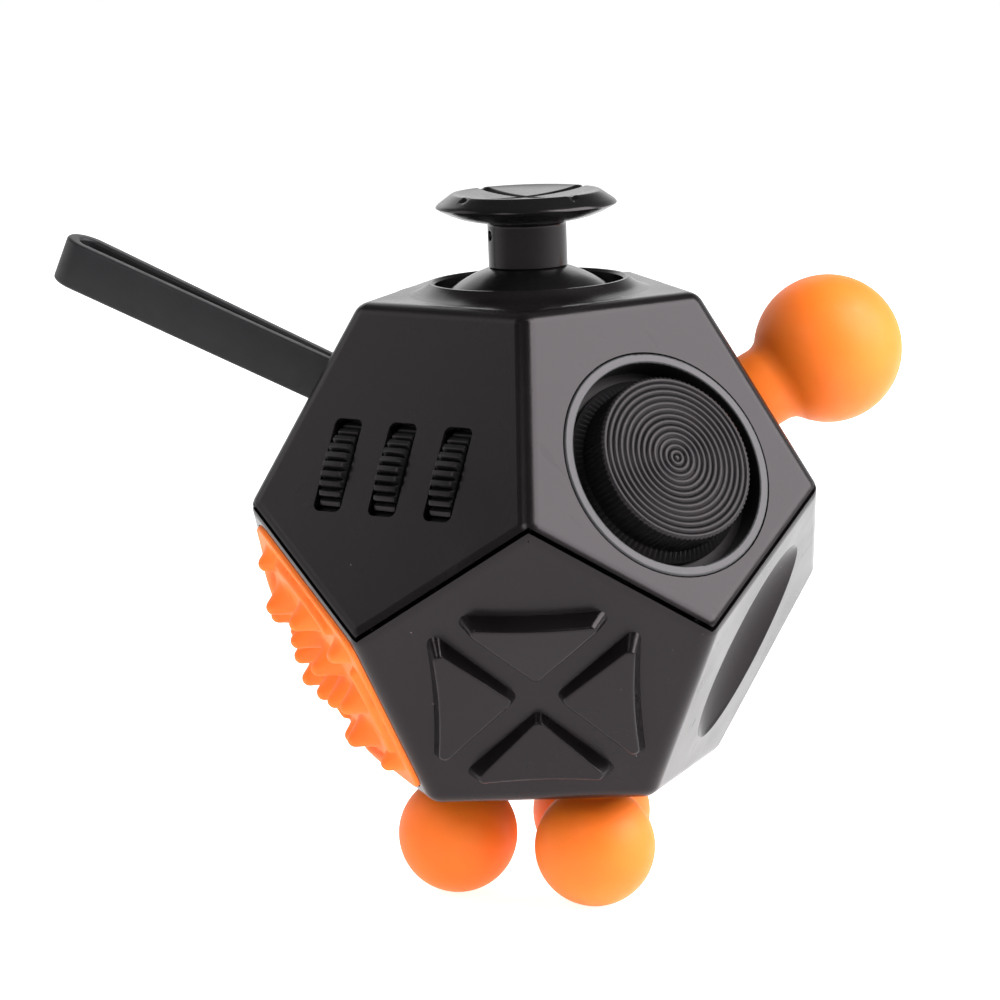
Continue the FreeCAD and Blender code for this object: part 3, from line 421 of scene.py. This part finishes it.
def finger_dial():
    """Ridged finger disc with a finely fluted side, on its skirt and shaft."""
    pitch, ridges, ridge_tall, top = 0.575, 13, 0.2, 1.8
    flutes, flute_deep = 96, 0.06
    ring_edge = pitch * ridges
    skirt = [(2.0, -5.2), (2.0, -2.5), (8.6, -2.4), (8.8, -2.25), (8.78, -2.12), (8.7, -2.06)]
    side = skirt + [(7.8, -1.62), (7.74, -1.4), (7.74, 0.0), (7.74, 1.3)] + arc(7.42, 1.42, 0.32, 0, 80, 5)
    rings = []
    for r in np.linspace(ring_edge - 0.12, 0.42, 160):
        wave = abs(math.cos(math.pi * r / pitch))
        rings.append((r, top - 0.02 - ridge_tall * (1 - wave ** 0.6)))
    dot = [(0.34, top - 0.2), (0.26, top - 0.08), (0.14, top - 0.03), (0, top - 0.02)]
    fluted = range(len(side) - 10, len(side) - 2)

    def ripple(k, angle, r):
        return r + flute_deep * math.cos(flutes * angle) if k in fluted else r

    verts, faces = lathe(side + rings + dot, 384, ripple)
    place = placed("dial_spin", direction(DIAL_AZIMUTH, SIDE_TILT), direction(DIAL_AZIMUTH + 90, 0))
    obj = mesh_object("finger_dial", verts, faces, place, DIAL, 50)
    return add_piece(obj, "dial", "dial_plastic", "dial")


def thumb_wheel(k):
    """Wheel with flat bars across its rim, rounded at their edges, and narrow gaps between them."""
    teeth, radius, half = 44, 6.5, 1.25
    gap_half, gap_deep, crown_deep = 0.24, 0.5, 0.05
    bore, hub, hub_half, web_edge = 1.05, 2.1, 3.13, 5.6
    steps_per_tooth = 18

    def ripple(_, angle, r):
        if r < web_edge:
            return r
        phase = (angle * teeth / (2 * math.pi)) % 1.0
        gap = max(0.0, 1 - abs(phase - 0.5) / gap_half)
        crown = crown_deep * abs(math.remainder(2 * phase, 2.0)) ** 3
        return r - gap_deep * gap ** 0.75 - crown

    rim = [(radius - 0.3, -half), (radius - 0.1, -half + 0.05)]
    rim += [(radius - 0.02, -half + 0.16), (radius, -half + 0.3)]
    rim += [(r, -z) for r, z in reversed(rim)]
    web = [(bore, -hub_half), (hub, -hub_half), (hub, -half), (web_edge, -half)]
    profile = web + rim + [(r, -z) for r, z in reversed(web)] + [(bore, -hub_half)]
    verts, faces = lathe(profile, teeth * steps_per_tooth, ripple)
    joint = "wheel_%d_spin" % k
    place = placed(joint, Vector(JOINTS[joint]["axis"]), direction(WHEELS_AZIMUTH, SIDE_TILT))
    obj = mesh_object("toothed_wheel_%d" % k, verts, faces, place, WHEEL, 35)
    return add_piece(obj, "wheel_%d" % k, "wheel_plastic", "thumb_wheel_%d" % k)


def bend_ball(name, joint, normal, right, profile, nodes):
    """A silicone ball on its neck, between the housing and the ball's own body."""
    verts, faces = lathe(profile, 128)
    place = placed(joint, normal, right)
    obj = mesh_object(name, verts, faces, place, ORANGE, 60)
    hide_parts(*nodes)
    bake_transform(obj)
    return obj


def ball_profile(neck, neck_low, ball_r, arm, fillet):
    """From the neck's foot, over a concave fillet, round the ball to its pole.

    The ball's centre is arm above the frame's origin.
    """
    reach = ball_r + fillet
    drop = math.sqrt(reach ** 2 - (neck + fillet) ** 2)
    meet = math.degrees(math.atan2(drop, neck + fillet))
    curve = arc(neck + fillet, arm - drop, fillet, 180, 180 - meet, 12)
    ball = arc(0, arm, ball_r, -meet, 90, 64)
    return [(neck, neck_low)] + curve + ball[1:-1] + [(0, arm + ball_r)]


def big_ball():
    """The large ball on its neck, with the plate that holds it inside the shell."""
    foot = [(0, -4.6), (5.8, -4.6), (6.0, -4.4), (6.0, -3.4), (5.8, -3.22), (3.36, -3.2), (3.36, -1.1)]
    foot += [(3.45, -0.86), (3.62, -0.72)]
    profile = foot + ball_profile(3.75, -0.5, 7.0, 9.8, 2.0)
    normal, right = direction(BIG_BALL_AZIMUTH, SIDE_TILT), direction(BIG_BALL_AZIMUTH + 90, 0)
    return bend_ball("bend_ball_large", "big_ball_bend", normal, right, profile,
                     ["big_ball", "big_ball_root"])


def foot_ball(k):
    """One of the three balls that the toy stands on, looking down from the plate they share."""
    foot = [(0, -2.2), (1.9, -2.2), (1.95, -0.3), (2.1, -0.12)]
    profile = foot + ball_profile(2.3, 0.0, 5.6, 5.63, 0.5)
    outward = Vector(JOINTS["foot_ball_%d_bend" % k]["pos_m"]) - CENTRE
    outward.z = 0
    node = "foot_ball_%d" % k
    return bend_ball("bend_ball_foot_%d" % k, node + "_bend", Vector((0, 0, -1)), outward,
                     profile, [node])


def strap_loop():
    """Closed silicone band with rounded edges, looped round its bar."""
    bar, neck, end = 1.375, 0.775, 1.825
    neck_at, far = 3.4, 31.75
    narrowing = (0.35, 0.7, 1.0)
    widening = np.linspace(0.06, 0.97, 22)
    path = arc(0, 0, bar, 180, 360, 16)
    path += [(neck + (bar - neck) * (1 - t) ** 2, neck_at * t) for t in narrowing]
    path += [(neck + (end - neck) * t, neck_at + (far - neck_at) * t) for t in widening]
    path += arc(0, far, end, 0, 180, 20)
    path += [(-neck - (end - neck) * t, neck_at + (far - neck_at) * t) for t in np.linspace(0.97, 0.06, 22)]
    path += [(-neck - (bar - neck) * (1 - t) ** 2, neck_at * t) for t in reversed(narrowing)]
    thick, wide, corner = 0.62, 2.2, 0.3
    section = []
    for cx, cy, start in ((1, 1, 0), (-1, 1, 90), (-1, -1, 180), (1, -1, 270)):
        section += arc(cx * (thick - corner), cy * (wide - corner), corner, start, start + 90, 5)
    verts, faces = [], []
    count, ring = len(path), len(section)
    for k, (x, z) in enumerate(path):
        before, after = path[k - 1], path[(k + 1) % count]
        along = Vector((after[0] - before[0], 0, after[1] - before[1])).normalized()
        out = Vector((along.z, 0, -along.x))
        for a, b in section:
            verts.append(Vector((x, 0, z)) + out * a + Vector((0, b, 0)))
    for k in range(count):
        base, following = k * ring, ((k + 1) % count) * ring
        for s in range(ring):
            t = (s + 1) % ring
            faces.append((base + s, base + t, following + t, following + s))
    normal = direction(STRAP_AZIMUTH, SIDE_TILT)
    right = direction(STRAP_AZIMUTH + 90, 0)
    droop = Matrix.Rotation(math.radians(STRAP_DROOP), 3, right)
    place = placed("strap_swing", droop @ normal, right)
    obj = mesh_object("strap_loop", verts, faces, place, STRAP_RUBBER, 50)
    return add_piece(obj, "strap", "strap_silicone", "strap")


def button_spring(k):
    """Compression spring between the button carrier and a button.
    """
    low, high, coil_r, wire_r, turns = -6.5, -3.2, 1.4, 0.3, 3.5
    steps, ring = 168, 12
    u, v = BUTTON_SPOTS[k - 1]
    place = side_face(BUTTONS_AZIMUTH, 1) @ Matrix.Translation((u * MM, v * MM, 0))
    rise = high - low - 2 * wire_r
    verts, faces = [], []
    for s in range(steps + 1):
        a = 2 * math.pi * turns * s / steps
        for q in range(ring):
            b = 2 * math.pi * q / ring
            r = coil_r + wire_r * math.cos(b)
            z = low + wire_r + rise * s / steps + wire_r * math.sin(b)
            verts.append((r * math.cos(a), r * math.sin(a), z))
    for s in range(steps):
        for q in range(ring):
            t = (q + 1) % ring
            faces.append((s * ring + q, (s + 1) * ring + q, (s + 1) * ring + t, s * ring + t))
    faces.append(tuple(range(ring)))
    faces.append(tuple(reversed(range(steps * ring, (steps + 1) * ring))))
    obj = mesh_object("button_coil_%d" % k, verts, faces, place, SPRING, 60)
    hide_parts("button_spring_%d" % k)
    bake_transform(obj)


def five_spikes(radius, azimuth, tall, base):
    """Five spikes evenly on a circle, as (u, v, height, radius of the base)."""
    turns = [math.radians((azimuth + 72 * k) % 360) for k in range(5)]
    return [(radius * math.cos(a), radius * math.sin(a), tall, base) for a in turns]


INNER_SPIKES = five_spikes(3.4, 90, 2.5, 2.1)
OUTER_SPIKES = five_spikes(7.6, 54, 2.4, 2.1)
CORNER_BUMPS = five_spikes(11.3, 90, 1.6, 1.6)


def spike_height(d, tall, base):
    """Height of a soft spike at a distance from its axis: a round tip on flanks that flare out."""
    tip_r, tip_end, tip_drop = 0.75, 0.68, 0.434
    if d < tip_end:
        return tall - tip_r + math.sqrt(tip_r ** 2 - d ** 2)
    return (tall - tip_drop) * (max(0.0, base - d) / (base - tip_end)) ** 1.5


def pad_height(u, v):
    """Height of the massage pad's surface: ribs along its sides, corner bumps and soft spikes."""
    rib_out, rib_bow, rib_half_long = 10.75, 0.022, 4.6
    rib_half_wide, rib_tall = 0.55, 0.65
    height = 0.0
    for k in range(5):
        a = math.radians(54 + 72 * k)
        outward = u * math.cos(a) + v * math.sin(a)
        along = -u * math.sin(a) + v * math.cos(a)
        middle = rib_out - rib_bow * along ** 2
        past = max(0.0, abs(along) - rib_half_long)
        gap = math.hypot(outward - middle, past) / rib_half_wide
        if gap < 1:
            height = max(height, rib_tall * (1 - gap ** 2) ** 0.6)
    for su, sv, tall, base in INNER_SPIKES + OUTER_SPIKES + CORNER_BUMPS:
        height = max(height, spike_height(math.hypot(u - su, v - sv), tall, base))
    return height


def massage_pad():
    """Pentagonal silicone pad with a smooth border, ribs and spikes, as one skin."""
    inradius, corner, proud, edge_round = 12.28, 2.5, 0.4, 0.22
    lip, bottom = -0.4, -1.48
    rings, steps = 110, 360
    core = inradius - corner
    tip = core / math.cos(math.radians(36))
    straight_until = math.atan(core * math.tan(math.radians(36)) / inradius)

    def outline(angle):
        """Distance to the rounded pentagon's edge; a side's middle points at 54 degrees."""
        side = abs(math.remainder(angle - math.radians(54), math.radians(72)))
        if side < straight_until:
            return inradius / math.cos(side)
        spread = math.radians(36) - side
        return tip * math.cos(spread) + math.sqrt(corner ** 2 - (tip * math.sin(spread)) ** 2)

    verts, faces = [(0, 0, proud + pad_height(0, 0))], []
    for ring in range(1, rings + 1):
        share = ring / rings
        for k in range(steps):
            a = 2 * math.pi * k / steps
            r = outline(a) * share
            u, v = r * math.cos(a), r * math.sin(a)
            near = max(0.0, 1 - (outline(a) - r) / edge_round)
            round_off = edge_round * (1 - math.sqrt(max(0.0, 1 - near ** 2)))
            verts.append((u, v, proud + pad_height(u, v) - round_off))
    for z in (lip, bottom):
        for k in range(steps):
            a = 2 * math.pi * k / steps
            verts.append((outline(a) * math.cos(a), outline(a) * math.sin(a), z))
    verts.append((0, 0, bottom))
    last_ring = 1 + (rings + 1) * steps
    for k in range(steps):
        t = (k + 1) % steps
        faces.append((0, 1 + k, 1 + t))
        for ring in range(rings + 1):
            base, following = 1 + ring * steps, 1 + (ring + 1) * steps
            faces.append((base + k, following + k, following + t, base + t))
        faces.append((last_ring + t, last_ring + k, len(verts) - 1))
    obj = mesh_object("massage_pad", verts, faces, side_face(PAD_AZIMUTH, -1), ORANGE, 60)
    return add_piece(obj, "housing", "orange_silicone", "spike_pad")


joystick_cap()
finger_dial()
for number in (1, 2, 3):
    thumb_wheel(number)
    foot_ball(number)
for number in range(1, 6):
    button_spring(number)
big_ball()
strap_loop()
massage_pad()


# ---------- studio ----------

# The camera's angles in degrees, its distance from the body's centre and its offsets, and its lens.
CAMERA_AZIMUTH = 2.1603
CAMERA_HEIGHT = 9.3368
CAMERA_ROLL = -2.1025
CAMERA_DISTANCE = 453.885 * MM
CAMERA_SIDE = 3.5345 * MM
CAMERA_DROP = -3.3505 * MM
LENS = 174.963

FLOOR_GLOW = 0.8


def camera():
    """The camera looks along the view axis past a point a little beside the body's centre."""
    azimuth, height, roll = (math.radians(x) for x in (CAMERA_AZIMUTH, CAMERA_HEIGHT, CAMERA_ROLL))
    level = math.cos(height)
    back = Vector((math.sin(azimuth) * level, -math.cos(azimuth) * level, math.sin(height)))
    right = Vector((0, 0, 1)).cross(back).normalized()
    up = back.cross(right)
    right_r = right * math.cos(roll) + up * math.sin(roll)
    up_r = up * math.cos(roll) - right * math.sin(roll)
    data = bpy.data.cameras.new("camera")
    data.lens = LENS
    data.sensor_width = 36
    data.clip_start = 0.01
    data.clip_end = 20
    obj = bpy.data.objects.new("camera", data)
    bpy.context.scene.collection.objects.link(obj)
    place = CENTRE + back * CAMERA_DISTANCE - right_r * CAMERA_SIDE - up_r * CAMERA_DROP
    m = Matrix.Identity(4)
    for row in range(3):
        m[row] = (right_r[row], up_r[row], back[row], place[row])
    obj.matrix_world = m
    bpy.context.scene.camera = obj


def area_light(name, azimuth, height, distance, size, power):
    """A white softbox that faces the toy from a direction in degrees, at a distance in metres."""
    data = bpy.data.lights.new(name, "AREA")
    data.shape = "RECTANGLE"
    data.size, data.size_y = size
    data.energy = power
    obj = bpy.data.objects.new(name, data)
    bpy.context.scene.collection.objects.link(obj)
    out = direction(azimuth, height)
    right = Vector((0, 0, 1)).cross(out)
    obj.matrix_world = local_frame(CENTRE + out * distance, out, right)


def surroundings():
    """A bright room behind and beside the toy that darkens overhead and behind the camera."""
    world = bpy.data.worlds.new("studio")
    bpy.context.scene.world = world
    world.use_nodes = True
    tree = world.node_tree
    split = tree.nodes.new("ShaderNodeSeparateXYZ")
    tree.links.new(tree.nodes.new("ShaderNodeTexCoord").outputs["Generated"], split.inputs[0])

    def ramp(axis, low, high, to_low, to_high):
        node = map_range(tree, split.outputs[axis], low, high, to_low, to_high)
        node.interpolation_type = "SMOOTHSTEP"
        return node.outputs["Result"]

    depth = ramp("Y", -0.75, 0.25, 0.16, 1.35)
    overhead = ramp("Z", 0.0, 0.65, 1.0, 0.12)
    strength = tree.nodes.new("ShaderNodeMath")
    strength.operation = "MULTIPLY"
    tree.links.new(depth, strength.inputs[0])
    tree.links.new(overhead, strength.inputs[1])
    tree.links.new(strength.outputs[0], tree.nodes["Background"].inputs["Strength"])
    tree.nodes["Background"].inputs["Color"].default_value = (1, 1, 1, 1)


def studio_floor():
    """A wide pale floor that glows faintly, less in front of the toy."""
    pale, shade = (0.86, 0.86, 0.86), (0.84, 0.84, 0.842)
    n = Nodes("pale_floor", pale, 0.9)
    tone = n.mix(n.map_range(n.noise(30, 3), 0.3, 0.7, 0.0, 1.0), (*pale, 1), (*shade, 1))
    n.set(Base_Color=tone, Normal=n.bump(n.noise(500, 3), 0.02 * MM), Specular_IOR_Level=0.2)
    ahead = n.new("ShaderNodeSeparateXYZ")
    n.put(ahead, 0, n.coordinates)
    glow = n.map_range(ahead.outputs["Y"], -0.28, -0.06, 0.25 * FLOOR_GLOW, FLOOR_GLOW)
    n.set(Emission_Color=(1, 1, 1, 1), Emission_Strength=glow)
    half = 3.0
    mesh = bpy.data.meshes.new("floor")
    corners = [(-half, -half, 0), (half, -half, 0), (half, half, 0), (-half, half, 0)]
    mesh.from_pydata(corners, [], [(0, 1, 2, 3)])
    mesh.materials.append(n.material)
    floor = bpy.data.objects.new("floor", mesh)
    bpy.context.scene.collection.objects.link(floor)


def studio():
    """Room, floor, one strong softbox at the right, and four weak ones that fill or pick out edges."""
    surroundings()
    studio_floor()
    area_light("right_softbox", -12.5, 34, 0.5, (0.42, 0.42), 5.0)
    area_light("left_softbox", 172, 33, 0.55, (0.3, 0.3), 0.4)
    area_light("back_softbox", 100, 30, 0.6, (0.5, 0.3), 0.5)
    area_light("key_softbox", -32, 58, 0.5, (0.14, 0.14), 0.6)
    area_light("fill_softbox", -118, 34, 0.5, (0.16, 0.16), 0.55)


bpy.context.scene.view_settings.view_transform = "Standard"

camera()
studio()
